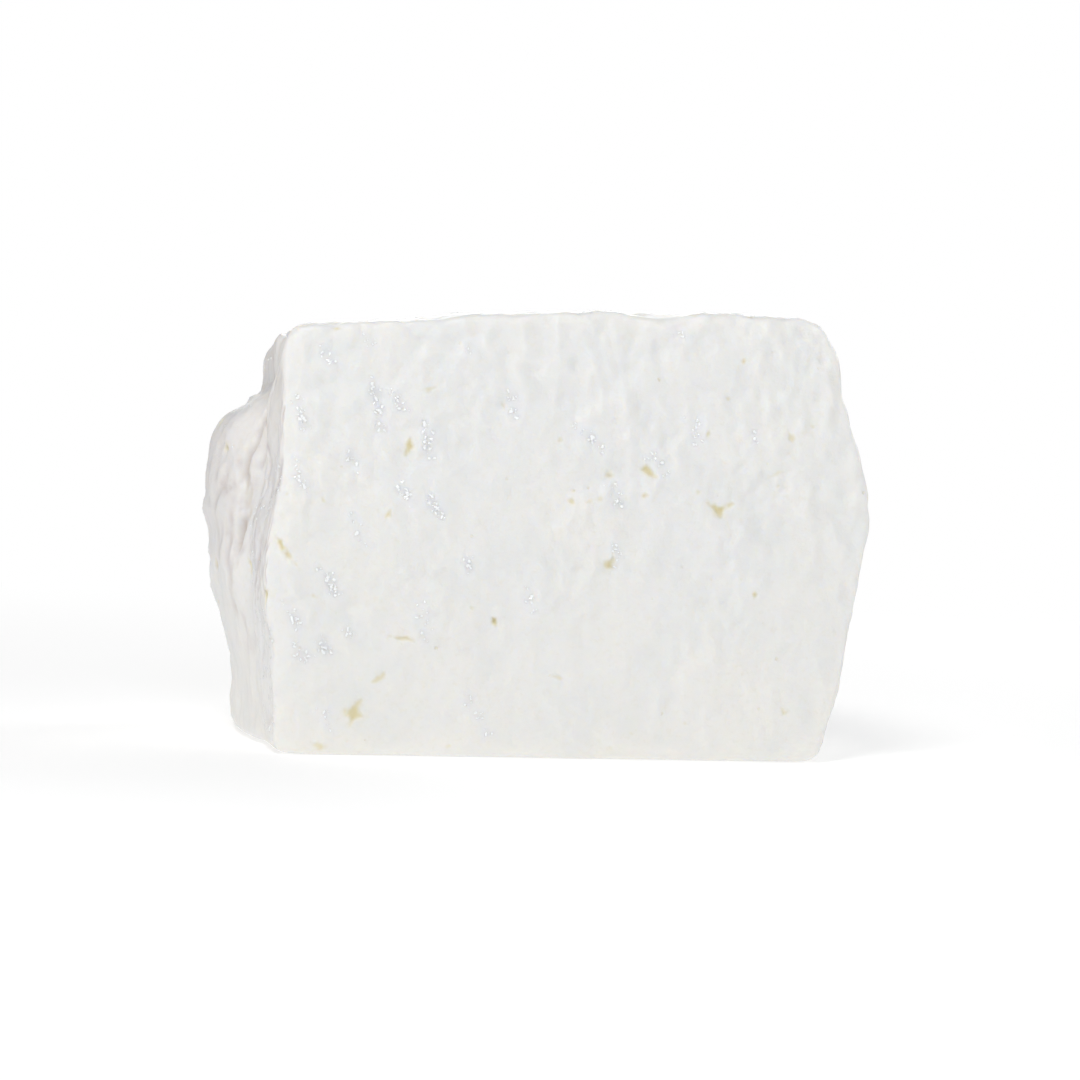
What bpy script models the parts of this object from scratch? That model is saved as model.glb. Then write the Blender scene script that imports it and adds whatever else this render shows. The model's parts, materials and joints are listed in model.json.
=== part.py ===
"""One block of white sheep's milk cheese: a knife-cut front, and sides torn along the curd.

Metres, +Z up. The cut face looks along -Y, the block is widest along X, and it rests
on its flat underside with the origin under the middle of its bounding box.
"""

import math

import bmesh
import bpy
from mathutils import Vector, noise

MM = 0.001

# The block, from which the places of its features are worked out
WIDTH = 96 * MM
DEPTH = 66 * MM
HEIGHT = 70.5 * MM

# Spacing of the grid that the faces are cut into: fine at the edges, even in the middle
FINEST_CELL = 0.9 * MM
CELL_GROWTH = 1.5
WIDEST_CELL = 3.4 * MM

# Rounding of the rims round the front and back faces, and of the four long edges
FRONT_RIM = 1.5 * MM
BACK_RIM = 4.5 * MM
TOP_RIGHT_EDGE = 9.0 * MM
TOP_LEFT_EDGE = 4.2 * MM
LOW_RIGHT_EDGE = 3.6 * MM
LOW_LEFT_EDGE = 2.4 * MM
EDGE_WANDER = 0.3

# Right side: a belly that draws in towards the top and the bottom
BELLY_HEIGHT = 0.553 * HEIGHT
BELLY_SHOULDER = 0.91 * HEIGHT
BELLY_DRAW_TOP = 6.0 * MM
BELLY_DRAW_LOW = 7.0 * MM
BELLY_POWER_LOW = 1.4
RIGHT_TAPER = 3.0 * MM

# Left side: a front strip, a crease, and a lobe of curd that swells out behind it
LEFT_SHRINK = 2.0 * MM
LEFT_SWELL = 2.1 * MM
LEFT_SWELL_HEIGHT = 0.41 * HEIGHT
LEFT_SWELL_REACH = 0.27 * HEIGHT
LEFT_TAPER_TOP = 3.0 * MM
LOBE_SWELL = 7.6 * MM
LOBE_DEPTH = 0.56 * DEPTH
LOBE_FRONT_REACH = 0.30 * DEPTH
LOBE_BACK_REACH = 0.62 * DEPTH
LOBE_HEIGHT = 0.64 * HEIGHT
LOBE_SHOULDER = 0.21 * HEIGHT
LOBE_TAIL = 0.52 * HEIGHT
LOBE_FOOT_SHARE = 0.29
LOBE_NOTCH = 1.1 * MM
LOBE_NOTCH_HEIGHT = 0.465 * HEIGHT
LOBE_NOTCH_REACH = 4.5 * MM
CREASE_DEPTH = 1.2 * MM
CREASE_PLACE = 0.26 * DEPTH
CREASE_REACH = 5.0 * MM

# Top: falls to the left and to the back, with a torn ridge and a groove along it
TOP_FALL_LEFT = 4.3 * MM
TOP_FALL_START = 0.06 * WIDTH
TOP_FALL_BACK = 2.4 * MM
TOP_DIP = 1.2 * MM
TOP_DIP_PLACE = 0.14 * WIDTH
TOP_DIP_REACH = 12 * MM
RIDGE_RISE = 1.2 * MM
RIDGE_PLACE = 0.07 * DEPTH
RIDGE_REACH = 8.0 * MM
GROOVE_DEPTH = 1.5 * MM
GROOVE_PLACE = 0.27 * DEPTH
GROOVE_REACH = 7.0 * MM

# Front: a very slight crown
FRONT_CROWN = 0.7 * MM

# Back: a ledge where the curd broke away, with the lower part set back
LEDGE_HEIGHT = 0.52 * HEIGHT
LEDGE_WANDER = 6.5 * MM
LEDGE_WAVE = 0.80 * WIDTH
LEDGE_SETBACK = 5.0 * MM
LEDGE_SOFTNESS = 5.0 * MM
BACK_LEAN = 3.0 * MM

# Uneven surface: its coarse and its fine part, by side, and where it starts above the table
COARSE_WAVE = 17 * MM
FINE_WAVE = 8.5 * MM
ROUGHNESS = {
    "front": (0.30 * MM, 0.12 * MM),
    "back": (1.10 * MM, 0.90 * MM),
    "left": (0.55 * MM, 0.25 * MM),
    "right": (0.90 * MM, 0.80 * MM),
    "top": (0.60 * MM, 0.45 * MM),
}
ROUGH_FROM = 1.0 * MM
ROUGH_FULL = 9.0 * MM
ROUGH_AT_CUT = 0.35
ROUGH_PAST_CUT = 15 * MM
NOISE_PLACE = Vector((3.1, 7.4, 1.9))

CURD_WHITE = (0.86, 0.84, 0.79, 1.0)


def eased(value, low, high):
    """0 below low, 1 above high, and a smooth step between them."""
    share = min(1.0, max(0.0, (value - low) / (high - low)))
    return share * share * (3 - 2 * share)


def hump(value, centre, reach_below, reach_above=None):
    """1 at the centre and 0 past the reach on either side, smooth all the way."""
    reach = reach_below if value < centre or reach_above is None else reach_above
    share = min(1.0, abs(value - centre) / reach)
    return (1 - share * share) ** 2


def dome(value, centre, reach_below, reach_above):
    """1 at the centre and 0 past the reach on either side, with a loaf's steep foot."""
    reach = reach_below if value < centre else reach_above
    share = min(1.0, abs(value - centre) / reach)
    return (1 - share * share) ** 0.7


def stations(length):
    """Distances from the middle where a length is cut, closer together towards both ends."""
    steps = []
    step = FINEST_CELL
    while step < WIDEST_CELL:
        steps.append(step)
        step *= CELL_GROWTH
    middle = length - 2 * sum(steps)
    count = math.ceil(middle / WIDEST_CELL)
    places = [-length / 2]
    for step in steps + [middle / count] * count + steps[::-1]:
        places.append(places[-1] + step)
    return places[1:-1]


def gridded_box():
    """A box on the table, with a grid of cuts on every face."""
    grid = bmesh.new()
    bmesh.ops.create_cube(grid, size=1.0)
    bmesh.ops.scale(grid, vec=(WIDTH, DEPTH, HEIGHT), verts=grid.verts)
    for axis, length in enumerate((WIDTH, DEPTH, HEIGHT)):
        normal = Vector((0, 0, 0))
        normal[axis] = 1
        for place in stations(length):
            bmesh.ops.bisect_plane(
                grid,
                geom=grid.verts[:] + grid.edges[:] + grid.faces[:],
                dist=0.01 * FINEST_CELL,
                plane_co=normal * place,
                plane_no=normal,
            )
    bmesh.ops.translate(grid, vec=(0, 0, HEIGHT / 2), verts=grid.verts)
    return grid


def with_rounded_rims(point):
    """Rounds the rims of the front and back faces, by turning their corners into arcs."""
    radius = FRONT_RIM if point.y < 0 else BACK_RIM
    half_width = WIDTH / 2
    half_height = HEIGHT / 2
    rise = point.z - half_height
    inset = min(half_width - abs(point.x), half_height - abs(rise))
    across = radius - inset
    along = abs(point.y) - (DEPTH / 2 - radius)
    if across <= 0 or along <= 0:
        return point
    shrink = radius / math.hypot(across, along)
    new_inset = radius - across * shrink
    x = point.x * (half_width - new_inset) / (half_width - inset)
    z = half_height + rise * (half_height - new_inset) / (half_height - inset)
    y = math.copysign(DEPTH / 2 - radius + along * shrink, point.y)
    return Vector((x, y, z))


def with_rounded_edges(point):
    """Rounds the four edges that run from front to back, each by its own radius."""
    rise = point.z - HEIGHT / 2
    if rise > 0:
        radius = TOP_RIGHT_EDGE if point.x > 0 else TOP_LEFT_EDGE
    else:
        radius = LOW_RIGHT_EDGE if point.x > 0 else LOW_LEFT_EDGE
    radius *= 1 + EDGE_WANDER * noise.noise(Vector((0, point.y / COARSE_WAVE, radius / MM)))
    across = abs(point.x) - (WIDTH / 2 - radius)
    up = abs(rise) - (HEIGHT / 2 - radius)
    if across <= 0 or up <= 0:
        return point
    shrink = max(across, up) / math.hypot(across, up)
    x = math.copysign(WIDTH / 2 - radius + across * shrink, point.x)
    z = HEIGHT / 2 + math.copysign(HEIGHT / 2 - radius + up * shrink, rise)
    return Vector((x, point.y, z))


def right_side(point):
    """How far the right side stands in from the belly."""
    draw = BELLY_DRAW_TOP * eased(point.z, BELLY_HEIGHT, BELLY_SHOULDER)
    if point.z < BELLY_HEIGHT:
        draw = BELLY_DRAW_LOW * (1 - point.z / BELLY_HEIGHT) ** BELLY_POWER_LOW
    return -draw - RIGHT_TAPER * eased(point.y, 0, DEPTH / 2)


def left_side(point):
    """How far the left side stands in or, where it is less than nothing, out."""
    z = point.z
    from_front = point.y + DEPTH / 2
    edge = LEFT_SHRINK - LEFT_SWELL * hump(z, LEFT_SWELL_HEIGHT, LEFT_SWELL_REACH)
    taper = LEFT_TAPER_TOP * from_front / DEPTH * eased(z, 0.5 * HEIGHT, 0.8 * HEIGHT)
    if z > LOBE_HEIGHT:
        rise = dome(z, LOBE_HEIGHT, LOBE_TAIL, LOBE_SHOULDER)
    else:
        rise = eased(z, LOBE_HEIGHT - LOBE_TAIL, LOBE_HEIGHT)
        rise = LOBE_FOOT_SHARE + (1 - LOBE_FOOT_SHARE) * rise
    swell = LOBE_SWELL * rise - LOBE_NOTCH * hump(z, LOBE_NOTCH_HEIGHT, LOBE_NOTCH_REACH)
    if from_front < LOBE_DEPTH:
        swell *= dome(from_front, LOBE_DEPTH, LOBE_FRONT_REACH, LOBE_BACK_REACH)
    else:
        swell *= hump(from_front, LOBE_DEPTH, LOBE_BACK_REACH)
    crease = hump(from_front, CREASE_PLACE, CREASE_REACH) * eased(z, 0.2 * HEIGHT, 0.4 * HEIGHT)
    return edge + taper - swell + CREASE_DEPTH * crease


def top_side(point):
    """How far the top stands above its level."""
    fall = TOP_FALL_LEFT * max(0.0, TOP_FALL_START - point.x) / (TOP_FALL_START + WIDTH / 2)
    fall += TOP_FALL_BACK * eased(point.y, -0.2 * DEPTH, DEPTH / 2)
    dip = TOP_DIP * hump(point.x, TOP_DIP_PLACE, TOP_DIP_REACH)
    wander = 3.5 * MM * math.sin(math.tau * point.x / WIDTH)
    ridge = RIDGE_RISE * hump(point.y + wander, RIDGE_PLACE, RIDGE_REACH)
    groove = GROOVE_DEPTH * hump(point.y + wander, GROOVE_PLACE, GROOVE_REACH)
    inside = 1 - eased(abs(point.x), 0.3 * WIDTH, 0.48 * WIDTH)
    return (ridge - groove) * inside - fall - dip


def front_side(point):
    """How far the middle of the front stands out before its rim."""
    across = point.x / (WIDTH / 2)
    up = 2 * point.z / HEIGHT - 1
    return -FRONT_CROWN * (1 - across * across) * (1 - up * up)


def back_side(point):
    """How far the back stands in, under a ledge that wanders across it."""
    ledge = LEDGE_HEIGHT + LEDGE_WANDER * math.sin(math.tau * point.x / LEDGE_WAVE)
    below = 1 - eased(point.z, ledge - LEDGE_SOFTNESS, ledge + LEDGE_SOFTNESS)
    fades = 1 - eased(point.x, 0.15 * WIDTH, 0.42 * WIDTH)
    return -LEDGE_SETBACK * below * fades - BACK_LEAN * eased(point.z, 0.5 * HEIGHT, HEIGHT)


def shaped(point):
    """The block's large forms: each side is moved in or out, fading towards the opposite one."""
    to_right = max(0.0, point.x / (WIDTH / 2))
    to_left = max(0.0, -point.x / (WIDTH / 2))
    to_back = max(0.0, point.y / (DEPTH / 2))
    to_front = max(0.0, -point.y / (DEPTH / 2))
    to_top = eased(point.z, 0.3 * HEIGHT, HEIGHT)
    return point + Vector(
        (
            to_right * right_side(point) + to_left * left_side(point),
            to_back * back_side(point) + to_front * front_side(point),
            to_top * top_side(point),
        )
    )


def roughness_towards(normal):
    """Coarse and fine unevenness for a surface that faces this way."""
    shares = {
        "front": max(0.0, -normal.y) ** 2,
        "back": max(0.0, normal.y) ** 2,
        "left": max(0.0, -normal.x) ** 2,
        "right": max(0.0, normal.x) ** 2,
        "top": max(0.0, normal.z) ** 2,
    }
    coarse = sum(share * ROUGHNESS[side][0] for side, share in shares.items())
    fine = sum(share * ROUGHNESS[side][1] for side, share in shares.items())
    return coarse, fine


def roughen(grid):
    """Moves every point along its normal by two sizes of noise, none of it on the underside.

    The knife left a clean outline, so the sides are smoother where they meet the front.
    """
    grid.normal_update()
    moves = []
    for vertex in grid.verts:
        coarse, fine = roughness_towards(vertex.normal)
        place = vertex.co
        move = coarse * noise.noise(place / COARSE_WAVE + NOISE_PLACE)
        move += fine * noise.noise(place / FINE_WAVE - NOISE_PLACE)
        past_cut = eased(place.y + DEPTH / 2, 0, ROUGH_PAST_CUT)
        move *= ROUGH_AT_CUT + (1 - ROUGH_AT_CUT) * past_cut
        moves.append(2 * move * eased(place.z, ROUGH_FROM, ROUGH_FULL))
    for vertex, move in zip(grid.verts, moves):
        vertex.co += vertex.normal * move


def centre_over_origin(grid):
    """Puts the middle of the bounding box over the origin, and the underside on the table."""
    low = [min(v.co[axis] for v in grid.verts) for axis in range(3)]
    high = [max(v.co[axis] for v in grid.verts) for axis in range(3)]
    middle = Vector(((low[0] + high[0]) / 2, (low[1] + high[1]) / 2, low[2]))
    bmesh.ops.translate(grid, vec=-middle, verts=grid.verts)


def curd_material():
    """Moist white curd."""
    material = bpy.data.materials.new("white_curd")
    material.use_nodes = True
    shader = material.node_tree.nodes["Principled BSDF"]
    shader.inputs["Base Color"].default_value = CURD_WHITE
    shader.inputs["Roughness"].default_value = 0.42
    shader.inputs["Metallic"].default_value = 0.0
    return material


def make_block(collection):
    """The block itself, one closed solid."""
    grid = gridded_box()
    for vertex in grid.verts:
        vertex.co = shaped(with_rounded_edges(with_rounded_rims(vertex.co)))
    roughen(grid)
    centre_over_origin(grid)
    mesh = bpy.data.meshes.new("cheese_block")
    grid.to_mesh(mesh)
    grid.free()
    mesh.shade_smooth()
    mesh.materials.append(curd_material())
    block = bpy.data.objects.new("cheese_block", mesh)
    collection.objects.link(block)
    return block


def main():
    for old in list(bpy.data.objects):
        bpy.data.objects.remove(old, do_unlink=True)
    collection = bpy.data.collections.new("sheep_milk_cheese")
    bpy.context.scene.collection.children.link(collection)
    make_block(collection)


main()
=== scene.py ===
"""The looks of one hand-cut block of white brined sheep's milk cheese.

Metres, +Z up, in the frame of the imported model. The knife-cut front looks along -Y, the
other sides are torn along the curd, and the block lies on its flat underside.
"""

import json
import math
import random

import bpy
import numpy as np
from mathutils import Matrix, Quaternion, Vector, noise
from mathutils.kdtree import KDTree

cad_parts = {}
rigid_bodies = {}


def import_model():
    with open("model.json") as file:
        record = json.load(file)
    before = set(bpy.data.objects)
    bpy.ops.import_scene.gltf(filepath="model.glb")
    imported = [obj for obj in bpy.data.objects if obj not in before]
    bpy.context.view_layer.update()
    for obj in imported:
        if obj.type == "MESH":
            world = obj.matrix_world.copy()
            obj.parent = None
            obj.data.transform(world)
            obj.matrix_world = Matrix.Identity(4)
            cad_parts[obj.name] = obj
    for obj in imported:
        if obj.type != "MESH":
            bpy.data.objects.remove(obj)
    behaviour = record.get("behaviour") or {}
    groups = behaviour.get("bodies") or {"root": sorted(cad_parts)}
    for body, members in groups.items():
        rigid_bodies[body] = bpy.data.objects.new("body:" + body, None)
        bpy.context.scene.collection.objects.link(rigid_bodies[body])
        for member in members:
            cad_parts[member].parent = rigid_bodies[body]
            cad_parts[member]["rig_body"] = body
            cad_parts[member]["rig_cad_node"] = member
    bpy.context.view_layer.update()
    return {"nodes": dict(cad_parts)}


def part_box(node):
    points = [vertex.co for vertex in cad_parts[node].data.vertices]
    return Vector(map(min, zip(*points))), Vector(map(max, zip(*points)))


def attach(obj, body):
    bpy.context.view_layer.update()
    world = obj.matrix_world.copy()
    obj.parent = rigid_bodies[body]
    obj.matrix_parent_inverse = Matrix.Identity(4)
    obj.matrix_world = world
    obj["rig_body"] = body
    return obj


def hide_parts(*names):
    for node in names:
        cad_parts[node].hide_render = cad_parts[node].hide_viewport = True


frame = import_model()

MM = 0.001
NODE = "cheese_block"
PIECE = "white_cheese_block"
BLOCK_LOW, BLOCK_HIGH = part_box(NODE)

# The photograph's camera, from the places of the block's outline in it
PHOTO_FOCAL = 1464.0
PHOTO_AHEAD = (520.2, 467.1)
BLOCK_IN_PHOTO = (521.0, 517.0)
CAMERA_AWAY = 560 * MM
CAMERA_TURN = math.radians(10.8)
CAMERA_HEIGHT = 52 * MM
CAMERA_ROLL = math.radians(2.0)
FRONT_MIDDLE = 2.6 * MM
FRONT_PLANE = BLOCK_LOW.y + 0.4 * MM
FRAME_ANGLE = 0.315
SENSOR = 36.0

# The pale room: how bright it looks, how much it lights, and the floor's own share
ROOM_SEEN = 1.0
ROOM_LIGHT = 0.20
FLOOR_ALBEDO = (0.45, 0.45, 0.45)
FLOOR_SEEN_ALBEDO = (0.72, 0.72, 0.72)
FLOOR_GLOW = 0.40
FLOOR_BOUNCE = 0.57
FLOOR_FADE = (0.10, 0.45)

# Colours of the curd, and colours that paint light and shade into it: shade in its creases, hollows, pits and pores,
# bounce light low down and sheen where it is wet
MILK = (0.850, 0.846, 0.832)
# Cream tone of the curd, also used as painted bounce light low down
CREAM_TONE_AND_BOUNCE_LIGHT = (0.885, 0.867, 0.824)
COOL = (0.815, 0.822, 0.812)
# Painted sheen: paler and faintly blue where the curd is wet
PAINTED_WET_SHEEN = (0.895, 0.905, 0.925)
PORE = (0.820, 0.795, 0.720)
# Painted shade, darker and yellower, for hollows of the relief
HOLLOW_SHADE = (0.840, 0.795, 0.640)
# Painted shade, mauve-grey, for the left side's creases and upper part
SHADED = (0.610, 0.548, 0.542)
# Painted shade, darker and yellower, for pits and pores
PIT_SHADE = (0.775, 0.705, 0.450)

# Sizes of the fine mesh: the whole block, then its front and its pits once more
SMOOTH_LEVELS = 2
FRONT_FACING = 0.93
UNDERSIDE_CLEAR = 0.35 * MM
LEFT_FINE_REACH = 22 * MM
# How far a point lies below its neighbours when its painted shade is full
HOLLOW_SHADE_DEPTH = 0.45 * MM
TRIANGLE_LIMIT = 195_000

# Relief of each side in mm: swell, dents, grain, fused curds, small curds between them, ridges
RELIEF = {
    "front": (0.46, 0.50, 0.080, 0.16, 0.00, 0.00),
    "left": (0.40, 0.30, 0.060, 0.45, 0.10, 0.00),
    "right": (0.50, 0.26, 0.060, 1.50, 0.55, 0.10),
    "back": (0.45, 0.24, 0.055, 1.20, 0.45, 0.15),
    "top": (0.45, 0.26, 0.060, 1.25, 0.50, 0.22),
}
SWELL_SIZE = 9.0 * MM
DENT_SIZE = 2.9 * MM
DENT_RISE = 1.4
GRAIN_SIZE = 1.2 * MM
CURD_SIZE = 10.5 * MM
SMALL_CURD_SIZE = 4.6 * MM
CURD_BEND = 3.6 * MM
RIDGE_SIZE = 3.4 * MM
RIDGE_LENGTH = 7.0
ZONE_SIZE = 20.0 * MM
CALM_AT_CUT = 9.0 * MM
ROUGH_ZONE = 13.0 * MM
ROUGH_RISE = 60.0 * MM
DRAG_SIZE = 1.1 * MM
DRAG_DEPTH = 0.045 * MM
DRAG_LENGTH = 4.0

# Wrinkles of the left side: how far apart they are, how deep, and how long for their width
WRINKLE_SIZES = ((3.4 * MM, 0.31 * MM), (1.7 * MM, 0.18 * MM))
WRINKLE_LENGTH = 6.0
WRINKLE_WIDTH = 0.17
WRINKLE_REACH = 34 * MM
# How much painted shade darkens the upper part of the left side
UPPER_SHADE = 0.31

# The upright strip between the cut's left edge and the lobe: how far it is filled, where it is
# widest and at which heights it runs, then its lines: how far behind the cut each one is, from
# and to which height it runs, how deep and how wide to each side, all in mm
STRIP_FILL = 1.9 * MM
STRIP_MIDDLE = 14.5 * MM
STRIP_REACH = 9.0 * MM
STRIP_HEIGHTS = (26 * MM, 36 * MM, 54 * MM, 63 * MM)
STRIP_LINES = (
    (21.4, 27, 59, 1.50, 1.30),
    (16.8, 31, 50, 0.40, 0.70),
    (12.0, 35, 66, 0.55, 0.80),
    (8.6, 30, 46, 0.25, 0.60),
    (4.2, 38, 66, 0.30, 0.90),
)
LOBE_TOP_FILL = 2.0 * MM
LOBE_TOP_HEIGHTS = (44 * MM, 52 * MM, 53.2 * MM, 56 * MM)
LOBE_TOP_BEHIND = (23 * MM, 29 * MM, 50 * MM, 60 * MM)
EDGE_RECESS = 0.7 * MM
EDGE_REACH = 4.5 * MM
EDGE_LEVELS = (2 * MM, 66 * MM, 2 * MM)

# Pits and marks of the cut front, where the photograph shows them: the middle in its pixels,
# half-width and depth in mm, then the tips that the pit runs out to, in pixels
PITS = (
    ((440.6, 591.8), 0.95, 0.90, (443.6, 586.8), (437.0, 592.4), (439.3, 596.8), (444.2, 593.8)),
    ((464.5, 476.8), 0.50, 0.90, (465.2, 473.8), (463.5, 480.6)),
    ((567.0, 486.8), 0.60, 1.00, (563.9, 487.0), (570.4, 487.2), (572.0, 490.8)),
    ((550.4, 488.2), 0.42, 0.60, (547.2, 485.6), (553.8, 491.4)),
    ((534.0, 500.3), 0.42, 0.60, (532.6, 499.8), (535.8, 501.2)),
    ((545.6, 499.4), 0.36, 0.55, (541.0, 500.4), (551.6, 498.0)),
    ((565.8, 498.5), 0.36, 0.55, (563.6, 497.9), (568.4, 498.9)),
    ((598.0, 505.2), 0.58, 1.15, (593.0, 500.6), (604.0, 501.6), (598.4, 507.2)),
    ((551.2, 527.6), 0.52, 1.10, (552.4, 521.6), (547.0, 530.4), (553.6, 529.0)),
    ((541.9, 520.2), 0.30, 0.40, (542.4, 521.4)),
    ((501.7, 552.4), 0.36, 1.30, (500.4, 550.8), (502.2, 554.2)),
    ((492.0, 546.4), 0.26, 0.45, (489.0, 545.8), (496.0, 548.6)),
    ((463.5, 559.0), 0.30, 0.55, (455.0, 558.8), (467.4, 561.4)),
    ((451.8, 576.3), 0.42, 0.80, (448.6, 578.4), (454.8, 573.6)),
    ((416.6, 609.4), 0.50, 1.20, (412.4, 608.2), (423.6, 609.6)),
    ((426.0, 607.0), 0.55, 0.80, (420.0, 606.2), (430.0, 606.0)),
    ((614.0, 541.0), 0.26, 0.60, (614.3, 541.8)),
    ((607.4, 533.6), 0.22, 0.30, (607.6, 534.2)),
    ((626.7, 591.4), 0.38, 0.70, (624.6, 589.6), (628.4, 592.6), (626.4, 594.0)),
    ((583.8, 596.4), 0.26, 0.45, (584.4, 597.2)),
    ((528.5, 576.2), 0.26, 0.40, (525.4, 575.8), (531.6, 576.8)),
    ((423.6, 541.2), 0.34, 0.50, (421.6, 540.8), (426.0, 542.4)),
    ((416.0, 543.4), 0.22, 0.22, (409.0, 545.8), (423.0, 541.6)),
    ((430.5, 542.0), 0.20, 0.18, (424.0, 541.6), (437.0, 542.8)),
    ((608.8, 440.0), 0.32, 0.50, (607.6, 438.8), (609.4, 442.0)),
    ((602.2, 456.0), 0.22, 0.35, (600.6, 455.0), (603.6, 457.0)),
    ((593.4, 471.4), 0.32, 0.45, (593.8, 469.6), (592.8, 473.2)),
    ((629.2, 472.4), 0.42, 0.40, (628.0, 470.0), (630.0, 475.0)),
    ((639.0, 468.2), 0.28, 0.40, (637.4, 469.8), (640.8, 466.4)),
    ((624.0, 488.0), 0.24, 0.32, (618.8, 491.6), (628.6, 487.8)),
    ((624.2, 494.2), 0.24, 0.30, (625.0, 494.8)),
    ((605.0, 485.8), 0.20, 0.16, (593.4, 480.6), (620.0, 491.4)),
    ((588.6, 496.6), 0.28, 0.40, (588.0, 495.4), (589.6, 497.8)),
    ((594.8, 534.2), 0.22, 0.30, (595.6, 534.6)),
    ((530.2, 474.1), 0.28, 0.40, (529.6, 472.8), (531.2, 475.2)),
    ((513.0, 476.4), 0.26, 0.40, (511.0, 475.4), (515.4, 477.6)),
    ((473.7, 452.3), 0.34, 0.40, (471.0, 453.9), (476.6, 450.4)),
    ((505.2, 458.6), 0.30, 0.40, (504.6, 457.0), (505.8, 460.4)),
    ((455.7, 505.6), 0.32, 0.45, (457.2, 503.0), (454.2, 508.4)),
    ((434.0, 425.2), 0.42, 0.55, (430.6, 424.8), (437.4, 424.6)),
    ((412.0, 496.6), 0.32, 0.50, (410.0, 498.4), (414.0, 494.6)),
    ((428.0, 500.2), 0.26, 0.35, (427.6, 498.0), (428.4, 502.0)),
    ((642.6, 538.4), 0.28, 0.30, (641.6, 540.0), (643.6, 537.0)),
    ((643.0, 576.4), 0.24, 0.40, (638.8, 576.0), (648.4, 577.4)),
    ((560.6, 601.0), 0.24, 0.35, (559.4, 601.2), (562.0, 600.4)),
    ((482.0, 606.4), 0.30, 0.50, (479.0, 606.0), (485.4, 607.2)),
    ((408.6, 518.2), 0.44, 0.95, (402.4, 511.0), (416.8, 528.2)),
    ((406.8, 527.0), 0.28, 0.30, (412.2, 523.4), (404.2, 531.6)),
)
TIP_WIDTH = 0.34
PORE_SPACING = 2.6 * MM
PORE_BEND = 0.5 * MM
PIT_WIDENING = 1.50
PIT_SHALLOWNESS = 0.40
PIT_HALO = 0.16
PIT_BEND = 0.38 * MM
TIP_SHARE = 0.42
# Pit depth at which its painted shade is full
PIT_SHADE_DEPTH = 0.32 * MM
STRAY_PITS = 58
STRAY_HALF_WIDTH = (0.25, 0.95)
STRAY_LENGTH = (0.6, 3.4)
SEED = 20

# Wet spots of the cut front: both ends of a chain of tiny beads of brine, and how many
WET_CHAINS = (
    (426, 434, 432, 441, 8), (448, 430, 449, 434, 4), (449, 449, 453, 470, 15),
    (416, 454, 420, 470, 13), (438, 481, 441, 485, 4), (414, 482, 420, 496, 10),
    (457, 452, 463, 462, 9), (470, 464, 475, 481, 13), (459, 491, 465, 501, 9),
    (472, 497, 479, 509, 13), (489, 433, 491, 437, 3), (507, 452, 511, 463, 7),
    (427, 530, 434, 541, 13), (437, 554, 440, 560, 6), (425, 556, 430, 566, 10),
    (415, 562, 422, 570, 9), (411, 544, 417, 555, 9), (470, 545, 472, 560, 7),
    (489, 522, 491, 531, 6), (514, 539, 519, 547, 7), (535, 466, 547, 478, 9),
    (552, 494, 555, 503, 7), (586, 464, 590, 478, 6), (612, 470, 614, 475, 3),
    (553, 517, 556, 530, 7), (490, 584, 498, 601, 8), (580, 427, 583, 430, 3),
    (569, 480, 575, 489, 7), (440, 505, 446, 520, 5), (428, 590, 432, 600, 3),
)
CHAIN_WANDER = 0.50 * MM
BEAD_RADIUS = (0.13, 0.35)
BEAD_FLATNESS = 0.36
BEAD_CROWD = 2.0
# Where a bead's painted glint starts and where it is full, from rim to top
BEAD_GLINT_TOP = (0.10, 0.80)
STRAY_BEADS = 520
STRAY_WET_ZONE = 14 * MM
WET_REACH = 1.6 * MM


def eased(value, low, high):
    """0 below low, 1 above high, and a smooth step between them."""
    share = np.clip((value - low) / (high - low), 0.0, 1.0)
    return share * share * (3 - 2 * share)


def between(value, limits):
    """0 below the first and above the last of four limits, 1 between the middle two."""
    start, full, high, end = limits
    return eased(value, start, full) * (1 - eased(value, high, end))


def noise_at(places, size, shift, stretch=(1.0, 1.0, 1.0)):
    """Smooth noise from about -1 to 1, with bumps of this size, drawn out where stretch is over 1."""
    scaled = places / (size * np.array(stretch)) + shift
    return np.array([noise.noise(row) for row in scaled.tolist()])


def lumps_at(places, size, shift):
    """Rounded lumps of uneven height: up to about 1 in their middles, 0 in the grooves between."""
    scaled = places / size + shift
    gaps = np.empty(len(scaled))
    heights = np.empty(len(scaled))
    for index, row in enumerate(scaled.tolist()):
        reaches, middles = noise.voronoi(row)
        gaps[index] = reaches[1] - reaches[0]
        heights[index] = noise.noise(middles[0] * 3.7)
    share = np.clip(gaps / 0.6, 0.0, 1.0)
    return share * (2 - share) * (0.75 + 0.6 * heights)


def creases_at(places, size, shift, stretch, width):
    """1 along thin wandering lines and 0 between them."""
    return 1 - eased(np.abs(noise_at(places, size, shift, stretch)), 0.0, width)


def select_only(piece):
    bpy.ops.object.select_all(action="DESELECT")
    piece.select_set(True)
    bpy.context.view_layer.objects.active = piece


def select_faces(piece, chosen):
    """Selects the faces of this mask, as by clicking them in face mode."""
    mesh = piece.data
    bpy.ops.object.mode_set(mode="EDIT")
    bpy.ops.mesh.select_mode(type="FACE")
    bpy.ops.mesh.select_all(action="DESELECT")
    bpy.ops.object.mode_set(mode="OBJECT")
    mesh.polygons.foreach_set("select", chosen)
    bpy.ops.object.mode_set(mode="EDIT")


def face_middles(piece):
    mesh = piece.data
    middles = np.empty(len(mesh.polygons) * 3)
    normals = np.empty(len(mesh.polygons) * 3)
    mesh.polygons.foreach_get("center", middles)
    mesh.polygons.foreach_get("normal", normals)
    return middles.reshape(-1, 3), normals.reshape(-1, 3)


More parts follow.
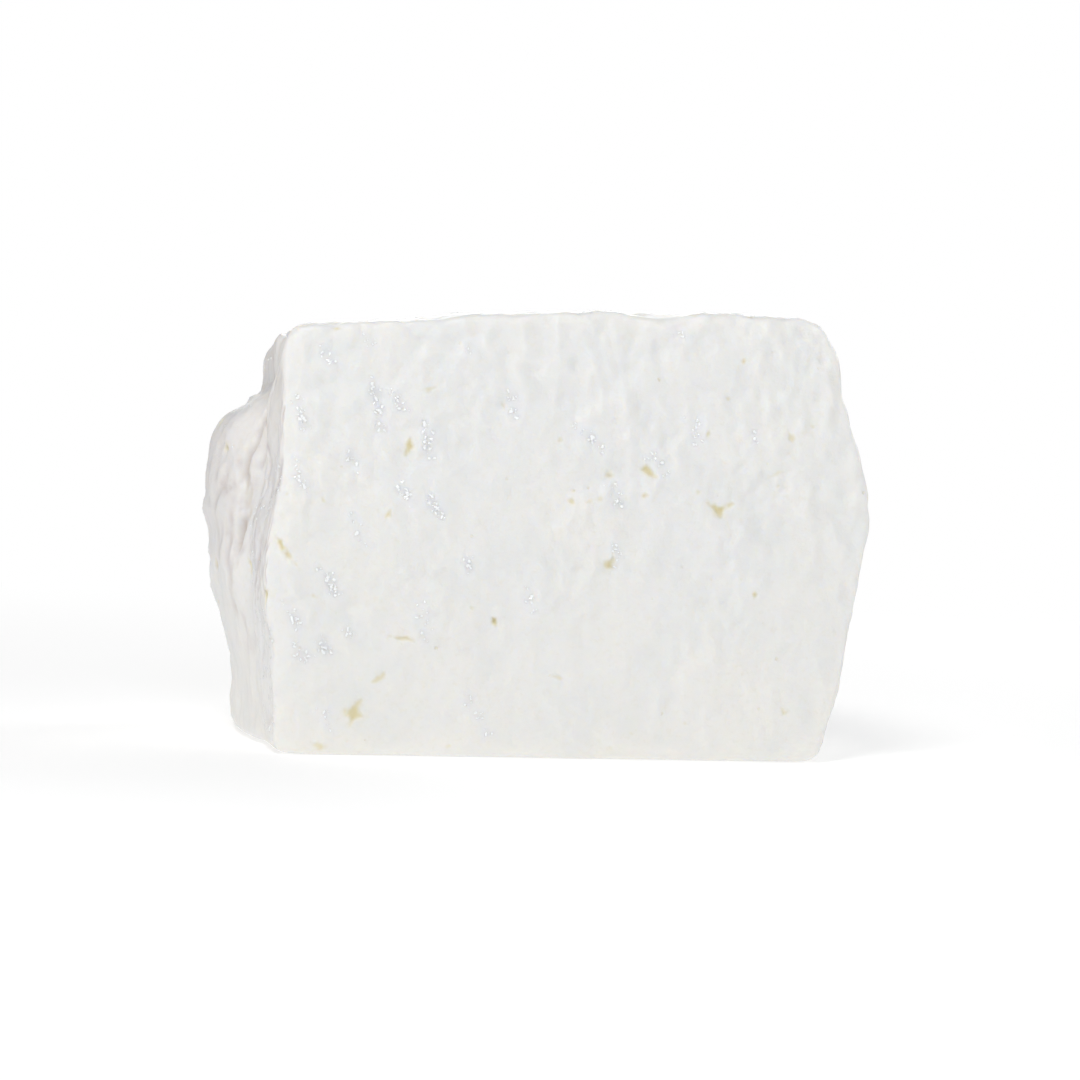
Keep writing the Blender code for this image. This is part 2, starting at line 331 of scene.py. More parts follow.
def points_of(piece):
    mesh = piece.data
    places = np.empty(len(mesh.vertices) * 3)
    normals = np.empty(len(mesh.vertices) * 3)
    mesh.vertices.foreach_get("co", places)
    mesh.vertices.foreach_get("normal", normals)
    return places.reshape(-1, 3), normals.reshape(-1, 3)


def camera_place():
    """Where the camera stands: in front of the block, a little to its left, and low."""
    return Vector(
        (
            FRONT_MIDDLE - CAMERA_AWAY * math.sin(CAMERA_TURN),
            FRONT_PLANE + 33 * MM - CAMERA_AWAY * math.cos(CAMERA_TURN),
            CAMERA_HEIGHT,
        )
    )


def ray_through(pixel_x, pixel_y):
    """The direction in which the camera sees a pixel of the photograph."""
    ahead = Vector((math.sin(CAMERA_TURN), math.cos(CAMERA_TURN), 0))
    right = Vector((math.cos(CAMERA_TURN), -math.sin(CAMERA_TURN), 0))
    across = (pixel_x - PHOTO_AHEAD[0]) / PHOTO_FOCAL
    down = (pixel_y - PHOTO_AHEAD[1]) / PHOTO_FOCAL
    turned_across = across * math.cos(CAMERA_ROLL) + down * math.sin(CAMERA_ROLL)
    turned_down = down * math.cos(CAMERA_ROLL) - across * math.sin(CAMERA_ROLL)
    return ahead + right * turned_across - Vector((0, 0, turned_down))


def on_front(pixel_x, pixel_y):
    """Where that ray meets the plane of the cut front."""
    place = camera_place()
    ray = ray_through(pixel_x, pixel_y)
    return place + ray * ((FRONT_PLANE - place.y) / ray.y)


def fine_copy():
    """A copy of the solid with clean quads, smoothed, and finer on its cut front."""
    select_only(frame["nodes"][NODE])
    bpy.ops.object.duplicate()
    block = bpy.context.active_object
    block.name = PIECE
    block.data.name = PIECE
    block.parent = None
    del block["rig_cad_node"]
    del block["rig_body"]
    select_only(block)
    bpy.ops.mesh.customdata_custom_splitnormals_clear()
    bpy.ops.object.mode_set(mode="EDIT")
    bpy.ops.mesh.select_all(action="SELECT")
    bpy.ops.mesh.remove_doubles(threshold=0.001 * MM)
    bpy.ops.mesh.tris_convert_to_quads(
        face_threshold=math.radians(60), shape_threshold=math.radians(70)
    )
    bpy.ops.object.mode_set(mode="OBJECT")

    middles, normals = face_middles(block)
    select_faces(block, (normals[:, 2] < -0.999) & (middles[:, 2] < 0.05 * MM))
    bpy.ops.mesh.dissolve_faces()
    bpy.ops.object.mode_set(mode="OBJECT")

    smooth = block.modifiers.new("smooth", "SUBSURF")
    smooth.levels = SMOOTH_LEVELS
    smooth.render_levels = SMOOTH_LEVELS
    bpy.ops.object.modifier_apply(modifier=smooth.name)

    _, normals = face_middles(block)
    select_faces(block, -normals[:, 1] > FRONT_FACING)
    bpy.ops.mesh.subdivide(number_cuts=1)
    bpy.ops.object.mode_set(mode="OBJECT")
    return block


def front_pits():
    """The pits that the photograph shows, as stars: middle, tips, half-width and depth."""
    pits = []
    for middle, half_width, depth, *tips in PITS:
        ends = [np.array(on_front(*tip)) for tip in tips]
        wide = half_width * PIT_WIDENING * MM
        deep = depth * PIT_SHALLOWNESS * MM
        pits.append((np.array(on_front(*middle)), ends, wide, deep))
    return pits


def stray_pits(places, normals, rng):
    """Pits on the other sides, at random places of the surface and with two or three tips."""
    candidates = np.flatnonzero((normals[:, 1] > -0.5) & (places[:, 2] > 5 * MM))
    pits = []
    for _ in range(STRAY_PITS):
        index = int(candidates[rng.randrange(len(candidates))])
        middle = places[index]
        normal = Vector(normals[index])
        along = normal.cross(Vector([rng.uniform(-1, 1) for _ in range(3)])).normalized()
        half_width = rng.triangular(*STRAY_HALF_WIDTH, STRAY_HALF_WIDTH[0]) * MM
        length = rng.triangular(*STRAY_LENGTH, STRAY_LENGTH[0]) * MM
        ends = []
        for turn in (0, rng.uniform(140, 220), rng.uniform(60, 120)):
            arm = Quaternion(normal, math.radians(turn)) @ along
            ends.append(middle + np.array(arm) * length * rng.uniform(0.4, 0.8))
        pits.append((middle, ends[: rng.choice((2, 2, 3))], half_width, half_width * rng.uniform(0.6, 1.2)))
    return pits


def pit_reach(places, middle, ends, half_width):
    """Distance of each place from a star of tapering arms, 1 at its edge, and 1 to 0 along an arm."""
    reach = np.linalg.norm(places - middle, axis=1) / half_width
    along = np.zeros(len(places))
    for end in ends:
        line = end - middle
        share = np.clip((places - middle) @ line / float(line @ line), 0.0, 1.0)
        gap = np.linalg.norm(places - middle - share[:, None] * line, axis=1)
        arm = gap / (half_width * (1 - (1 - TIP_WIDTH) * share))
        along = np.where(arm < reach, share, along)
        reach = np.minimum(reach, arm)
    return reach, 1 - along


def refine(block, chosen):
    """Splits the chosen faces once more."""
    select_faces(block, chosen)
    bpy.ops.mesh.subdivide(number_cuts=1)
    bpy.ops.object.mode_set(mode="OBJECT")


def refine_pits(block, pits):
    """Splits the faces round each pit once more, so that its edge is crisp."""
    middles, _ = face_middles(block)
    near = np.zeros(len(middles), bool)
    for middle, ends, half_width, _ in pits:
        reach, _ = pit_reach(middles, middle, ends, half_width + 0.25 * MM)
        near |= reach < 1.4
    refine(block, near)


def shares_of_sides(normals):
    """How much each point belongs to each side, by the way that it faces."""
    shares = {
        "front": eased(-normals[:, 1], 0.45, 0.95),
        "back": eased(normals[:, 1], 0.45, 0.95),
        "left": eased(-normals[:, 0], 0.45, 0.95),
        "right": eased(normals[:, 0], 0.45, 0.95),
        "top": eased(normals[:, 2], 0.45, 0.95),
    }
    whole = np.maximum(sum(shares.values()), 1.0)
    return {side: share / whole for side, share in shares.items()}


def curd_relief(places, normals):
    """How far each point stands out, in metres, for the curd's own relief, and how strongly painted shade darkens
    the left side's creases and upper part.
    """
    shares = shares_of_sides(normals)

    def amount(column):
        return sum(shares[side] * RELIEF[side][column] for side in RELIEF) * MM

    swell = noise_at(places, SWELL_SIZE, (3.1, 0.4, 7.7))
    dents = noise_at(places, DENT_SIZE, (8.8, 2.4, 1.7), (1.0, 1.0, DENT_RISE))
    dents += 0.5 * noise_at(places, 0.5 * DENT_SIZE, (3.8, 7.4, 2.7), (1.0, 1.0, DENT_RISE))
    rough = eased(noise_at(places, ROUGH_ZONE, (5.2, 3.1, 6.6)) + places[:, 2] / ROUGH_RISE, 0.1, 1.1)
    dents *= 1 - 0.55 * shares["front"] * (1 - rough)
    grain = noise_at(places, GRAIN_SIZE, (0.8, 5.4, 9.7))
    zone = eased(noise_at(places, ZONE_SIZE, (4.2, 9.1, 0.3)), -0.30, 0.25)
    warp = np.stack(
        [noise_at(places, 0.8 * CURD_SIZE, shift) for shift in ((1, 2, 3), (5, 6, 7), (9, 8, 7))],
        axis=1,
    )
    bent = places + warp * CURD_BEND
    curds = lumps_at(bent, CURD_SIZE, (2.3, 1.1, 6.4))
    small = lumps_at(bent, SMALL_CURD_SIZE, (7.3, 4.1, 0.4))
    lengthwise = (RIDGE_LENGTH, 1.0, 1.0)
    ridges = 1 - 2 * np.abs(noise_at(bent, RIDGE_SIZE, (6.1, 3.3, 2.9), lengthwise))

    torn = 0.25 + 0.75 * eased(places[:, 1] - FRONT_PLANE, 0.0, CALM_AT_CUT)
    torn = np.maximum(torn, shares["front"])
    low_between = 1 - eased(curds, 0.25, 0.85)
    relief = swell * amount(0) + dents * amount(1) + grain * amount(2)
    relief += torn * (curds - 0.6) * amount(3) * (0.45 + 0.55 * zone)
    relief += torn * (small - 0.4) * amount(4) * (0.25 + 0.75 * low_between) * (0.3 + 0.7 * zone)
    relief += torn * (ridges - 0.5) * amount(5) * (1 - 0.6 * zone)
    relief += shares["front"] * knife_drag(places)
    strip, lines = left_strip(places, shares["left"])
    # The wrinkles' depth, and where painted shade darkens the left side
    wrinkles, left_shade_marks = left_wrinkles_and_shade(places, shares["left"])
    return relief + strip - wrinkles, np.maximum(left_shade_marks, lines)


def left_strip(places, share):
    """How far the strip behind the cut's left edge stands out, and how strongly painted shade darkens its upright
    lines.
    """
    height = places[:, 2]
    behind = places[:, 1] - FRONT_PLANE
    fill = STRIP_FILL * between(height, STRIP_HEIGHTS) * (1 - eased(np.abs(behind - STRIP_MIDDLE), 0.0, STRIP_REACH))
    fill += LOBE_TOP_FILL * between(height, LOBE_TOP_HEIGHTS) * between(behind, LOBE_TOP_BEHIND)
    drift = 0.8 * MM * noise_at(places, 7 * MM, (6.6, 5.5, 4.4), (9.0, 9.0, 1.0))
    drift += 0.5 * MM * noise_at(places, 2.5 * MM, (1.6, 2.5, 3.4), (9.0, 9.0, 1.0))
    lines = np.zeros(len(places))
    for number, (place, start, stop, depth, half_width) in enumerate(STRIP_LINES):
        wander = 0.5 * MM * np.sin(height / (3.3 * MM) + 2.1 * number)
        line = 1 - eased(np.abs(behind - place * MM - drift - wander), 0.0, half_width * MM)
        line *= between(height, (start * MM, (start + 6) * MM, (stop - 5) * MM, stop * MM))
        fill -= line * depth * MM
        # Painted shade along the line, darker where the line is deeper
        lines = np.maximum(lines, line * min(1.0, 0.4 + 0.6 * depth))
    return share * fill, share * lines


def edge_recess(places, normals):
    """How far the rounded left edge of the cut front lies behind the front's plane."""
    facing = -normals[:, 1] > 0.9
    levels = np.arange(*EDGE_LEVELS)
    edge = [places[facing & (np.abs(places[:, 2] - level) < 1.5 * MM), 0].min() for level in levels]
    inward = places[:, 0] - np.interp(places[:, 2], levels, edge)
    near = np.clip(1 - inward / EDGE_REACH, 0.0, 1.0)
    return EDGE_RECESS * near * near * (1 - eased(places[:, 1] - FRONT_PLANE, 0.0, 1.5 * EDGE_REACH))


def knife_drag(places):
    """Fine slanting streaks that the knife drew up the cut front."""
    slant = (places[:, 0] + places[:, 2]) / math.sqrt(2)
    across = (places[:, 0] - places[:, 2]) / math.sqrt(2)
    turned = np.stack([slant, across, places[:, 1]], axis=1)
    streaks = noise_at(turned, DRAG_SIZE, (4.4, 2.6, 8.2), (DRAG_LENGTH, 1.0, 1.0))
    patches = eased(noise_at(places, 2 * SWELL_SIZE, (7.1, 0.9, 3.6)), -0.3, 0.3)
    return streaks * DRAG_DEPTH * (0.4 + 0.6 * patches)


def left_wrinkles_and_shade(places, share):
    """How deep the thin upright wrinkles of the left side are, and how strongly painted shade darkens their lines
    and the upper part of the side.
    """
    height = places[:, 2]
    behind = places[:, 1] - FRONT_PLANE
    band = 0.30 + 0.70 * eased(height, 16 * MM, 34 * MM)
    band = band * (1 - 0.6 * eased(behind, 0.7 * WRINKLE_REACH, WRINKLE_REACH))
    bent = places.copy()
    bent[:, 1] += 0.10 * height + 2.2 * MM * noise_at(places, 6 * MM, (7.7, 1.2, 3.9))
    depth = np.zeros(len(places))
    lines = np.zeros(len(places))
    for number, (size, deep) in enumerate(WRINKLE_SIZES):
        shift = (2.2 + number, 7.3, 5.1)
        crease = creases_at(bent, size, shift, (9.0, 1.0, WRINKLE_LENGTH), WRINKLE_WIDTH)
        broken = eased(noise_at(places, 2.2 * size, (0.7, 6.2 + number, 4.8), (1.0, 1.0, 2.0)), -0.25, 0.2)
        depth += crease * deep * broken
        lines = np.maximum(lines, crease * broken)
    # Painted shade on the upper part of the left side
    shade = UPPER_SHADE * eased(height, 20 * MM, 36 * MM)
    return share * band * depth, share * np.maximum(band * lines, shade)


def neighbours_mean(block, values, rounds):
    """The values after this many rounds of averaging with the points next to them."""
    mesh = block.data
    edges = np.empty(len(mesh.edges) * 2, np.int64)
    mesh.edges.foreach_get("vertices", edges)
    first, second = edges.reshape(-1, 2).T
    count = len(mesh.vertices)
    degree = np.bincount(first, minlength=count) + np.bincount(second, minlength=count)
    for _ in range(rounds):
        total = np.bincount(first, values[second], count) + np.bincount(second, values[first], count)
        values = 0.5 * values + 0.5 * total / degree
    return values


def pit_depths(places, pits):
    """How deep each point lies in a pit, in metres, and how strongly painted shade darkens and yellows the pit
    there.
    """
    edge_noise = noise_at(places, 0.7 * MM, (3.3, 3.1, 4.7))
    warp = [noise_at(places, 1.3 * MM, shift) for shift in ((6, 2, 4), (1, 9, 5), (8, 3, 7))]
    bent = places + PIT_BEND * np.stack(warp, axis=1)
    depths = np.zeros(len(places))
    pit_shades = np.zeros(len(places))
    for middle, ends, half_width, depth in pits:
        reach, inner = pit_reach(bent, middle, ends, half_width)
        reach = reach * (1 + 0.45 * edge_noise)
        fade = TIP_SHARE + (1 - TIP_SHARE) * inner
        share = (1 - eased(reach, 0.15, 1.20)) * fade
        halo = 1 - eased(reach, 0.9, 3.0)
        depths = np.maximum(depths, (share + PIT_HALO * halo) * depth)
        # Painted shade: deeper pits are darker and yellower
        pit_shade_strength = min(1.0, 0.10 + 0.90 * depth / PIT_SHADE_DEPTH)
        pit_shades = np.maximum(pit_shades, (share + PIT_HALO * halo) * pit_shade_strength)
    return depths, pit_shades


def keep_on_points(block, name, values):
    """Keeps a value for each point, which the material reads."""
    mark = block.data.attributes.new(name, "FLOAT", "POINT")
    mark.data.foreach_set("value", np.clip(values, 0.0, 1.0).astype(np.float32))


def dressed_block(bead_places):
    """The block with the curd's relief and pits, and attributes for painted shade in its hollows, pits and left
    side, and for wet spots.
    """
    block = fine_copy()
    places, normals = points_of(block)
    pits = front_pits() + stray_pits(places, normals, random.Random(SEED))
    refine_pits(block, pits)
    middles, normals = face_middles(block)
    behind = middles[:, 1] - FRONT_PLANE
    refine(block, (normals[:, 0] < -0.75) & (behind < LEFT_FINE_REACH) & (middles[:, 2] > 2 * MM))

    places, normals = points_of(block)
    relief, wrinkles = curd_relief(places, normals)
    depths, pit_shades = pit_depths(places, pits)
    relief -= depths
    relief *= eased(places[:, 2], UNDERSIDE_CLEAR, 8 * UNDERSIDE_CLEAR)
    # Painted shade: darker and yellower where a point lies below its neighbours
    hollow_shade = np.clip((neighbours_mean(block, relief, 8) - relief) / HOLLOW_SHADE_DEPTH, 0, 1)

    moved = places + normals * relief[:, None]
    moved[:, 1] += edge_recess(places, normals)
    block.data.vertices.foreach_set("co", moved.ravel())
    block.data.update()
    keep_on_points(block, "hollow_shade", neighbours_mean(block, hollow_shade, 1))
    # Where painted shade darkens and yellows the pits
    keep_on_points(block, "pit", neighbours_mean(block, pit_shades, 2))
    # Where painted shade darkens the left side's creases and upper part
    keep_on_points(block, "left_side_shade", neighbours_mean(block, wrinkles, 1))
    keep_on_points(block, "wet", wetness(places, normals, bead_places))
    thin_out(block)
    select_only(block)
    bpy.ops.object.shade_smooth()
    return block


def thin_out(block):
    """Merges the least needed edges until the block is under its limit of triangles."""
    triangles = sum(len(face.vertices) - 2 for face in block.data.polygons)
    if triangles <= TRIANGLE_LIMIT:
        return
    select_only(block)
    thin = block.modifiers.new("thin", "DECIMATE")
    thin.ratio = TRIANGLE_LIMIT / triangles
    bpy.ops.object.modifier_apply(modifier=thin.name)


def wetness(places, normals, bead_places):
    """1 at the beads of brine and where a film of it stands, 0 where the curd is drier."""
    film = eased(noise_at(places, STRAY_WET_ZONE, (1.4, 8.8, 2.6)), 0.05, 0.45)
    film *= 1 - 0.8 * shares_of_sides(normals)["front"]
    tree = KDTree(len(bead_places))
    for index, place in enumerate(bead_places):
        tree.insert(place, index)
    tree.balance()
    gaps = np.array([tree.find(place)[2] for place in places.tolist()])
    return np.maximum(film, 1 - eased(gaps, 0.3 * WET_REACH, WET_REACH))


def chain_places(rng):
    """Where the beads of the cut front are, on its plane: short wandering chains."""
    found = []
    for start_x, start_y, end_x, end_y, count in WET_CHAINS:
        start = on_front(start_x, start_y)
        end = on_front(end_x, end_y)
        for _ in range(round(count * BEAD_CROWD)):
            wander = Vector((rng.gauss(0, CHAIN_WANDER), 0, rng.gauss(0, CHAIN_WANDER)))
            found.append(start.lerp(end, rng.random()) + wander)
    return found


def brine_beads(block, front_places, rng):
    """Tiny flat beads of brine that stand on the curd, as one piece."""
    places, normals = points_of(block)
    film = noise_at(places, STRAY_WET_ZONE, (1.4, 8.8, 2.6))
    wet = np.flatnonzero((film > 0.18) & (normals[:, 1] > -0.6) & (places[:, 2] > 2 * MM))
    spots = []
    for place in front_places:
        found, where, facing, _ = block.closest_point_on_mesh(place)
        if found:
            spots.append((where, facing))
    for _ in range(STRAY_BEADS):
        index = int(wet[rng.randrange(len(wet))])
        spots.append((Vector(places[index]), Vector(normals[index])))

    bpy.ops.object.select_all(action="DESELECT")
    bpy.ops.mesh.primitive_uv_sphere_add(segments=8, ring_count=8, radius=1.0)
    pattern = bpy.context.active_object
    shape, _ = points_of(pattern)
    corners = [tuple(face.vertices) for face in pattern.data.polygons]
    bpy.data.objects.remove(pattern)

    points = []
    faces = []
    # How far up each bead its painted glint reaches
    glint_tops = np.tile(eased(shape[:, 2], *BEAD_GLINT_TOP), len(spots))
    for where, facing in spots:
        radius = rng.triangular(*BEAD_RADIUS, BEAD_RADIUS[0]) * MM
        spin = Quaternion((0, 0, 1), rng.uniform(0, math.pi))
        turn = np.array((facing.to_track_quat("Z", "Y") @ spin).to_matrix())
        size = radius * np.array((rng.uniform(0.8, 1.5), rng.uniform(0.6, 1.1), BEAD_FLATNESS))
        offset = len(points) * len(shape)
        points.append((shape * size) @ turn.T + np.array(where))
        faces += [tuple(corner + offset for corner in face) for face in corners]
    mesh = bpy.data.meshes.new("brine_beads")
    mesh.from_pydata(np.concatenate(points).tolist(), [], faces)
    beads = bpy.data.objects.new("brine_beads", mesh)
    bpy.context.scene.collection.objects.link(beads)
    keep_on_points(beads, "top", glint_tops)
    select_only(beads)
    bpy.ops.object.shade_smooth()
    return beads


def add_node(tree, kind, **settings):
    node = tree.nodes.new(kind)
    for name, value in settings.items():
        setattr(node, name, value)
    return node


def noise_node(tree, where, size, detail=2.0, roughness=0.5):
    """Noise with bumps of this size, in metres of the object's own coordinates."""
    node = add_node(tree, "ShaderNodeTexNoise")
    node.inputs["Scale"].default_value = 1 / size
    node.inputs["Detail"].default_value = detail
    node.inputs["Roughness"].default_value = roughness
    tree.links.new(where, node.inputs["Vector"])
    return node.outputs["Fac"]


def spread(tree, value, low, high, new_low=0.0, new_high=1.0):
    """Maps a value from one range to another, clamped."""
    node = add_node(tree, "ShaderNodeMapRange")
    for name, number in zip(("From Min", "From Max", "To Min", "To Max"), (low, high, new_low, new_high)):
        node.inputs[name].default_value = number
    tree.links.new(value, node.inputs["Value"])
    return node.outputs["Result"]


def blended(tree, share, first, second):
    """A colour between two others. Each is a colour or a node's output."""
    node = add_node(tree, "ShaderNodeMix", data_type="RGBA")
    tree.links.new(share, node.inputs["Factor"])
    for socket, colour in ((node.inputs[6], first), (node.inputs[7], second)):
        if isinstance(colour, tuple):
            socket.default_value = (*colour, 1.0)
        else:
            tree.links.new(colour, socket)
    return node.outputs[2]


def curd_material():
    """Moist white curd: milk white, cool where it is dense, creamier low down, partly its own tone and partly
    painted bounce light, with painted shade in its hollows, pits, pores and creases and painted sheen where it is
    wet.
    """
    material = bpy.data.materials.new("moist_white_curd")
    material.use_nodes = True
    tree = material.node_tree
    shader = tree.nodes["Principled BSDF"]
    where = add_node(tree, "ShaderNodeTexCoord").outputs["Object"]

    def kept(name):
        return add_node(tree, "ShaderNodeAttribute", attribute_name=name).outputs["Fac"]

    height = add_node(tree, "ShaderNodeSeparateXYZ")
    tree.links.new(where, height.inputs["Vector"])
    # Creamier and lighter towards the bottom: partly the curd's own tone, partly painted bounce light
    low_tone_and_bounce_light = spread(tree, height.outputs["Z"], 2 * MM, 26 * MM, 0.80, 0.0)
    cream_share = spread(tree, noise_node(tree, where, 22 * MM, 3), 0.45, 0.72, 0.0, 0.6)
    cool_share = spread(tree, noise_node(tree, where, 9 * MM, 4, 0.6), 0.44, 0.66, 0.0, 0.60)
    pore_share = spread(tree, noise_node(tree, where, 0.85 * MM, 2, 0.5), 0.56, 0.72, 0.0, 0.35)
    dots = pore_dots(tree, where)
    colour = blended(tree, low_tone_and_bounce_light, MILK, CREAM_TONE_AND_BOUNCE_LIGHT)
    colour = blended(tree, cream_share, colour, CREAM_TONE_AND_BOUNCE_LIGHT)
    colour = blended(tree, cool_share, colour, COOL)
    colour = blended(tree, pore_share, colour, PORE)
    # Painted sheen: paler and faintly blue near the beads and where a film of brine stands
    colour = blended(tree, spread(tree, kept("wet"), 0.0, 1.0, 0.0, 0.32), colour, PAINTED_WET_SHEEN)
    # Painted shade in the pores
    colour = blended(tree, spread(tree, dots, 0.0, 1.0, 0.0, 0.40), colour, PIT_SHADE)
    # Painted shade in the hollows of the relief
    colour = blended(tree, spread(tree, kept("hollow_shade"), 0.20, 1.0, 0.0, 0.75), colour, HOLLOW_SHADE)
    # Painted shade: mauve-grey along the left side's creases and over its upper part
    colour = blended(tree, spread(tree, kept("left_side_shade"), 0.1, 0.9, 0.0, 0.8), colour, SHADED)
    # Painted shade in the pits
    colour = blended(tree, spread(tree, kept("pit"), 0.1, 0.9, 0.0, 0.95), colour, PIT_SHADE)
    tree.links.new(colour, shader.inputs["Base Color"])

    tree.links.new(spread(tree, kept("wet"), 0.0, 1.0, 0.50, 0.44), shader.inputs["Roughness"])
    shader.inputs["IOR"].default_value = 1.42
    tree.links.new(spread(tree, kept("wet"), 0.0, 1.0, 0.15, 0.22), shader.inputs["Coat Weight"])
    shader.inputs["Coat Roughness"].default_value = 0.12
    shader.inputs["Coat IOR"].default_value = 1.34
    shader.inputs["Subsurface Weight"].default_value = 0.80
    shader.inputs["Subsurface Scale"].default_value = 1.8 * MM
    shader.inputs["Subsurface Radius"].default_value = (1.0, 0.88, 0.70)

    fine = bump_node(tree, noise_node(tree, where, 0.42 * MM, 2, 0.5), 0.040 * MM)
    grain = bump_node(tree, noise_node(tree, where, 1.2 * MM, 3, 0.6), 0.11 * MM, fine)
    pored = bump_node(tree, spread(tree, dots, 0.0, 1.0, 1.0, 0.0), 0.12 * MM, grain)
    tree.links.new(pored, shader.inputs["Normal"])
    tree.links.new(pored, shader.inputs["Coat Normal"])
    return material


def pore_dots(tree, where):
    """1 in small scattered pores of uneven outline, at about one for each four cells."""
    bend = add_node(tree, "ShaderNodeTexNoise")
    bend.inputs["Scale"].default_value = 1 / (0.6 * MM)
    tree.links.new(where, bend.inputs["Vector"])
    shift = add_node(tree, "ShaderNodeVectorMath", operation="SCALE")
    shift.inputs["Scale"].default_value = PORE_BEND
    tree.links.new(bend.outputs["Color"], shift.inputs[0])
    bent = add_node(tree, "ShaderNodeVectorMath", operation="ADD")
    tree.links.new(where, bent.inputs[0])
    tree.links.new(shift.outputs["Vector"], bent.inputs[1])
    cells = add_node(tree, "ShaderNodeTexVoronoi")
    cells.inputs["Scale"].default_value = 1 / PORE_SPACING
    tree.links.new(bent.outputs["Vector"], cells.inputs["Vector"])
    chance = add_node(tree, "ShaderNodeSeparateColor")
    tree.links.new(cells.outputs["Color"], chance.inputs["Color"])
    has_one = spread(tree, chance.outputs["Red"], 0.70, 0.95)
    inside = spread(tree, cells.outputs["Distance"], 0.05, 0.13, 1.0, 0.0)
    both = add_node(tree, "ShaderNodeMath", operation="MULTIPLY")
    tree.links.new(has_one, both.inputs[0])
    tree.links.new(inside, both.inputs[1])
    return both.outputs["Value"]


def bump_node(tree, height, depth, under=None):
    """Fine relief of this depth, in metres, over another bump where one is given."""
    node = add_node(tree, "ShaderNodeBump")
    node.inputs["Strength"].default_value = 1.0
    node.inputs["Distance"].default_value = depth
    tree.links.new(height, node.inputs["Height"])
    if under is not None:
        tree.links.new(under, node.inputs["Normal"])
    return node.outputs["Normal"]


def brine_material():
    """Brine: curd white towards a bead's rim, a painted glint, pale and faintly blue, on its top, and glossy."""
    material = bpy.data.materials.new("brine_with_painted_glint")
    material.use_nodes = True
    tree = material.node_tree
    shader = tree.nodes["Principled BSDF"]
    where = add_node(tree, "ShaderNodeTexCoord").outputs["Object"]
    cloud = noise_node(tree, where, 1.5 * MM, 2)
    pale = blended(tree, cloud, (0.96, 0.98, 1.0), (0.99, 1.0, 1.0))
    top = add_node(tree, "ShaderNodeAttribute", attribute_name="top").outputs["Fac"]
    # Painted glint on each bead's top
    tree.links.new(blended(tree, top, MILK, pale), shader.inputs["Base Color"])
    tree.links.new(spread(tree, cloud, 0.3, 0.7, 0.05, 0.15), shader.inputs["Roughness"])
    shader.inputs["IOR"].default_value = 1.34
    shader.inputs["Coat Weight"].default_value = 1.0
    shader.inputs["Coat Roughness"].default_value = 0.05
    return material


def area_light(name, place, size, watts, colour=(1.0, 1.0, 1.0)):
    """A soft square light that faces the block."""
    bpy.ops.object.light_add(type="AREA", location=place)
    light = bpy.context.active_object
    light.name = name
    light.data.size = size
    light.data.energy = watts
    light.data.color = colour
    aim = Vector((0, 0, BLOCK_HIGH.z / 2)) - Vector(place)
    light.rotation_euler = aim.to_track_quat("-Z", "Y").to_euler()
    return light


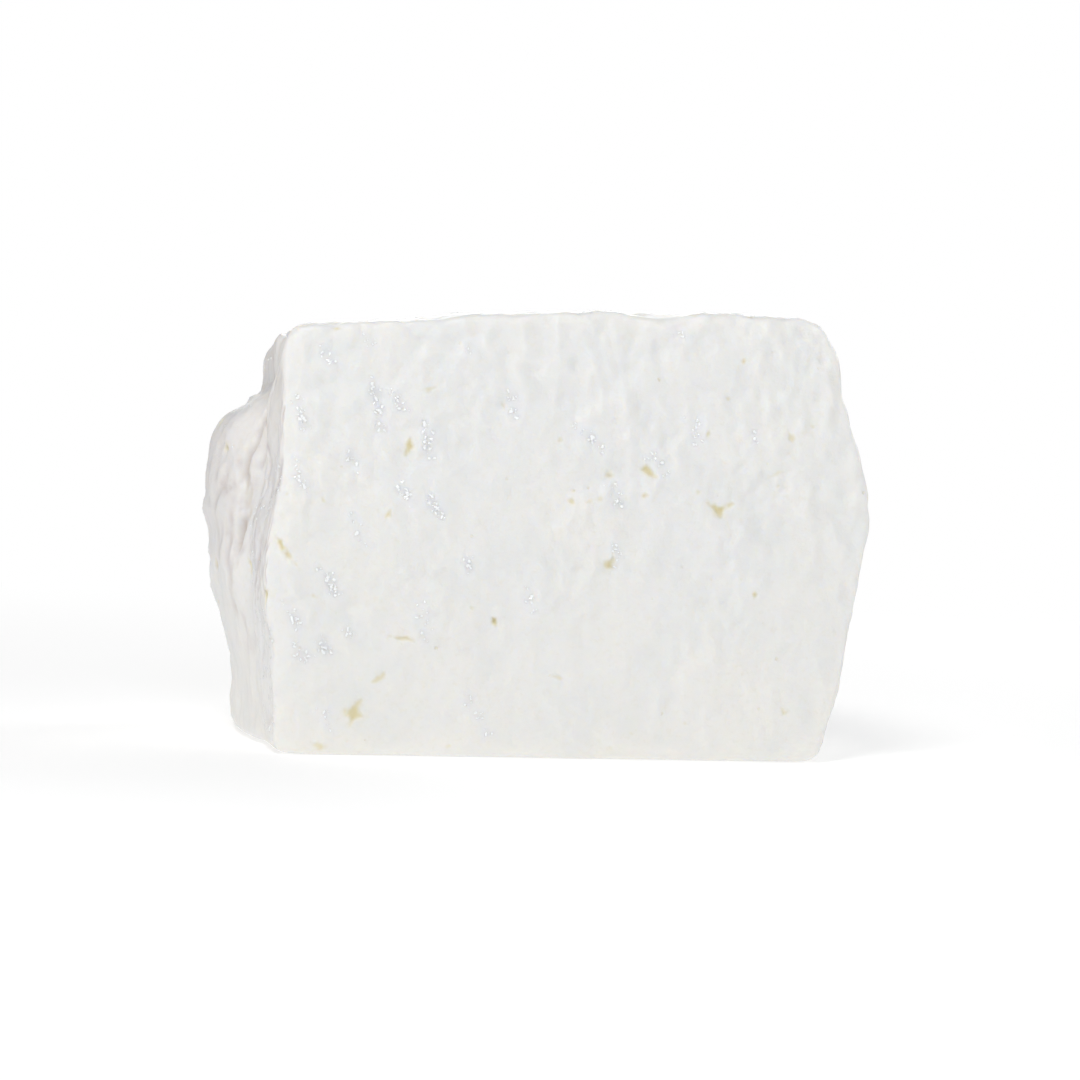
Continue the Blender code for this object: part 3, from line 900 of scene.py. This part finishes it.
def floor_and_world():
    """A pale floor and a pale world that meet without a horizon, and light the block softly."""
    bpy.ops.mesh.primitive_circle_add(vertices=128, radius=6.0, fill_type="NGON", location=(0, 0, -0.05 * MM))
    floor = bpy.context.active_object
    floor.name = "pale_floor"
    material = bpy.data.materials.new("pale_floor")
    material.use_nodes = True
    tree = material.node_tree
    lit = add_node(tree, "ShaderNodeBsdfDiffuse")
    lit.inputs["Color"].default_value = (*FLOOR_ALBEDO, 1)
    seen_lit = add_node(tree, "ShaderNodeBsdfDiffuse")
    seen_lit.inputs["Color"].default_value = (*FLOOR_SEEN_ALBEDO, 1)
    near = glow_node(tree, FLOOR_GLOW)
    both = add_node(tree, "ShaderNodeAddShader")
    tree.links.new(seen_lit.outputs["BSDF"], both.inputs[0])
    tree.links.new(near, both.inputs[1])
    where = add_node(tree, "ShaderNodeTexCoord").outputs["Object"]
    length = add_node(tree, "ShaderNodeVectorMath", operation="LENGTH")
    tree.links.new(where, length.inputs[0])
    far_share = spread(tree, length.outputs["Value"], *FLOOR_FADE)
    seen = mixed_shaders(tree, far_share, both.outputs["Shader"], glow_node(tree, ROOM_SEEN))
    camera_share = add_node(tree, "ShaderNodeLightPath").outputs["Is Camera Ray"]
    bounce = add_node(tree, "ShaderNodeAddShader")
    tree.links.new(lit.outputs["BSDF"], bounce.inputs[0])
    tree.links.new(glow_node(tree, FLOOR_BOUNCE), bounce.inputs[1])
    whole = mixed_shaders(tree, camera_share, bounce.outputs["Shader"], seen)
    tree.links.new(whole, tree.nodes["Material Output"].inputs["Surface"])
    floor.data.materials.append(material)

    world = bpy.data.worlds.new("pale_room")
    bpy.context.scene.world = world
    world.use_nodes = True
    tree = world.node_tree
    seen = tree.nodes["Background"]
    seen.inputs["Color"].default_value = (1, 1, 1, 1)
    seen.inputs["Strength"].default_value = ROOM_SEEN
    lit = add_node(tree, "ShaderNodeBackground")
    lit.inputs["Color"].default_value = (0.97, 0.985, 1.0, 1)
    lit.inputs["Strength"].default_value = ROOM_LIGHT
    camera_share = add_node(tree, "ShaderNodeLightPath").outputs["Is Camera Ray"]
    whole = mixed_shaders(tree, camera_share, lit.outputs["Background"], seen.outputs["Background"])
    tree.links.new(whole, tree.nodes["World Output"].inputs["Surface"])


def glow_node(tree, strength):
    node = add_node(tree, "ShaderNodeEmission")
    node.inputs["Color"].default_value = (1, 1, 1, 1)
    node.inputs["Strength"].default_value = strength
    return node.outputs["Emission"]


def mixed_shaders(tree, share, first, second):
    node = add_node(tree, "ShaderNodeMixShader")
    tree.links.new(share, node.inputs["Fac"])
    tree.links.new(first, node.inputs[1])
    tree.links.new(second, node.inputs[2])
    return node.outputs["Shader"]


def add_camera():
    bpy.ops.object.camera_add(location=camera_place())
    camera = bpy.context.active_object
    camera.data.sensor_width = SENSOR
    camera.data.lens = SENSOR / 2 / math.tan(FRAME_ANGLE / 2)
    camera.data.clip_start = 0.01
    camera.rotation_mode = "QUATERNION"
    aim = ray_through(*BLOCK_IN_PHOTO).to_track_quat("-Z", "Y")
    camera.rotation_quaternion = aim @ Quaternion((0, 0, 1), CAMERA_ROLL)
    bpy.context.scene.camera = camera


def main():
    rng = random.Random(SEED + 1)
    front_beads = chain_places(rng)
    block = dressed_block(front_beads)
    block.data.materials.clear()
    block.data.materials.append(curd_material())
    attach(block, "root")
    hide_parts(NODE)

    beads = brine_beads(block, front_beads, rng)
    beads.data.materials.append(brine_material())
    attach(beads, "root")

    floor_and_world()
    area_light("key_light", (-0.22, -0.44, 0.60), 0.20, 2.30, (1.0, 0.99, 0.97))
    area_light("fill_light", (0.45, -0.65, 0.25), 0.60, 0.6)
    area_light("right_light", (0.62, 0.30, 0.36), 0.36, 1.7)
    area_light("back_light", (0.12, 0.75, 0.38), 0.40, 1.6)
    area_light("left_light", (-1.00, 0.08, 0.20), 0.80, 2.9, (1.0, 0.965, 0.955))
    area_light("glint_light", (-0.05, -0.62, 0.30), 0.12, 0.55, (0.86, 0.92, 1.0))
    bpy.context.scene.view_settings.view_transform = "Standard"
    add_camera()


main()
